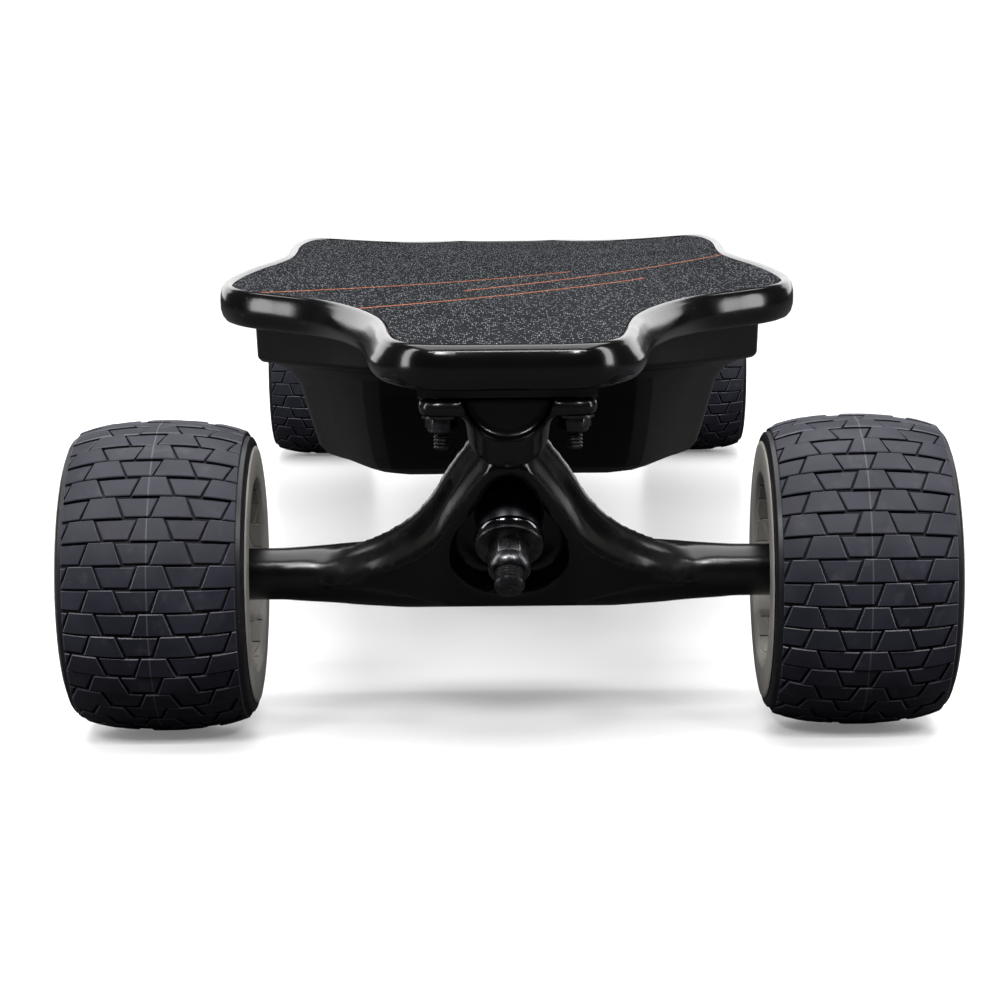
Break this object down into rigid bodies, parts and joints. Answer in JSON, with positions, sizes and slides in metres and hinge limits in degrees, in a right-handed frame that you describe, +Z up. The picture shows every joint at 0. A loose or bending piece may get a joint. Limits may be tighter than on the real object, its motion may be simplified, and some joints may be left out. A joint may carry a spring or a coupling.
{
  "type": "electric skateboard",
  "caption": "Electric longboard with wheel cut-outs, under-deck battery tray, leaning trucks, treaded tyres on front cores and rear hub motors.",
  "frame": {"origin": "on the ground midway between the axles, at the middle of the bounding box's bottom", "axes": "nose toward -Y, tail toward +Y, rider's left is +X when facing the nose, +Z up"},
  "size_m": [0.2928, 0.95, 0.1403],
  "materials": {
    "deck_wood": "satin",
    "grip": "matte",
    "edge_rubber": "gloss",
    "tray_plastic": "satin",
    "pack_wrap": "gloss",
    "controller_case": "satin",
    "cast_black": "gloss",
    "black_steel": "satin",
    "bushing": "satin",
    "tyre": "matte",
    "core_plastic": "satin",
    "bearing_steel": "satin",
    "motor_shell": "satin",
    "motor_core": "satin"
  },
  "bodies": {
    "board": {"deck": "deck_wood", "grip_tape": "grip", "edge_bumper": "edge_rubber", "enclosure_tray": "tray_plastic", "battery_pack": "pack_wrap", "motor_controller": "controller_case", "charge_port": "tray_plastic", "front_riser_pad": "edge_rubber", "front_baseplate": "cast_black", "front_pivot_cup": "bushing", "front_kingpin": "black_steel", "front_kingpin_nut": "black_steel", "front_boardside_bushing": "bushing", "front_roadside_bushing": "bushing", "front_cup_washer": "black_steel", "rear_riser_pad": "edge_rubber", "rear_baseplate": "cast_black", "rear_pivot_cup": "bushing", "rear_kingpin": "black_steel", "rear_kingpin_nut": "black_steel", "rear_boardside_bushing": "bushing", "rear_roadside_bushing": "bushing", "rear_cup_washer": "black_steel", "front_truck_bolt_1": "black_steel", "front_truck_bolt_2": "black_steel", "front_truck_bolt_3": "black_steel", "front_truck_bolt_4": "black_steel", "front_truck_nut_1": "black_steel", "front_truck_nut_2": "black_steel", "front_truck_nut_3": "black_steel", "front_truck_nut_4": "black_steel", "rear_truck_bolt_1": "black_steel", "rear_truck_bolt_2": "black_steel", "rear_truck_bolt_3": "black_steel", "rear_truck_bolt_4": "black_steel", "rear_truck_nut_1": "black_steel", "rear_truck_nut_2": "black_steel", "rear_truck_nut_3": "black_steel", "rear_truck_nut_4": "black_steel"},
    "front_truck": {"front_hanger": "cast_black", "front_axle": "black_steel", "front_left_axle_nut": "black_steel", "front_right_axle_nut": "black_steel"},
    "rear_truck": {"rear_hanger": "cast_black", "rear_left_stator": "motor_core", "rear_right_stator": "motor_core", "rear_left_axle_nut": "black_steel", "rear_right_axle_nut": "black_steel"},
    "front_left_wheel": {"front_left_tyre": "tyre", "front_left_core": "core_plastic", "front_left_bearings": "bearing_steel"},
    "front_right_wheel": {"front_right_tyre": "tyre", "front_right_core": "core_plastic", "front_right_bearings": "bearing_steel"},
    "rear_left_wheel": {"rear_left_tyre": "tyre", "rear_left_motor_can": "motor_shell"},
    "rear_right_wheel": {"rear_right_tyre": "tyre", "rear_right_motor_can": "motor_shell"},
    "charge_cap": {"charge_port_cap": "edge_rubber"},
    "power_key": {"power_button": "black_steel"}
  },
  "joints": [
    {"name": "front_steer", "type": "hinge", "parent": "board", "child": "front_truck", "pos_m": [0, -0.4262, 0.0785], "axis": [0, -0.6691, 0.7431], "range_deg": [-15, 15], "stiffness_Nm_per_rad": 35, "deforming": ["front_boardside_bushing", "front_roadside_bushing"]},
    {"name": "rear_steer", "type": "hinge", "parent": "board", "child": "rear_truck", "pos_m": [0, 0.4262, 0.074], "axis": [0, 0.6691, 0.7431], "range_deg": [-15, 15], "stiffness_Nm_per_rad": 35, "deforming": ["rear_boardside_bushing", "rear_roadside_bushing"]},
    {"name": "front_left_spin", "type": "hinge", "parent": "front_truck", "child": "front_left_wheel", "pos_m": [0.1161, -0.39, 0.0525], "axis": [1, 0, 0], "continuous": true},
    {"name": "front_right_spin", "type": "hinge", "parent": "front_truck", "child": "front_right_wheel", "pos_m": [-0.1161, -0.39, 0.0525], "axis": [1, 0, 0], "continuous": true},
    {"name": "rear_left_spin", "type": "hinge", "parent": "rear_truck", "child": "rear_left_wheel", "pos_m": [0.1161, 0.39, 0.0525], "axis": [1, 0, 0], "continuous": true},
    {"name": "rear_right_spin", "type": "hinge", "parent": "rear_truck", "child": "rear_right_wheel", "pos_m": [-0.1161, 0.39, 0.0525], "axis": [1, 0, 0], "continuous": true},
    {"name": "charge_cap_flip", "type": "hinge", "parent": "board", "child": "charge_cap", "pos_m": [-0.0889, 0.12, 0.0973], "axis": [0, 1, 0], "range_deg": [0, 100]},
    {"name": "power_press", "type": "slide", "parent": "board", "child": "power_key", "axis": [1, 0, 0], "range_m": [0, 0.001], "stiffness_N_per_m": 400}
  ]
}
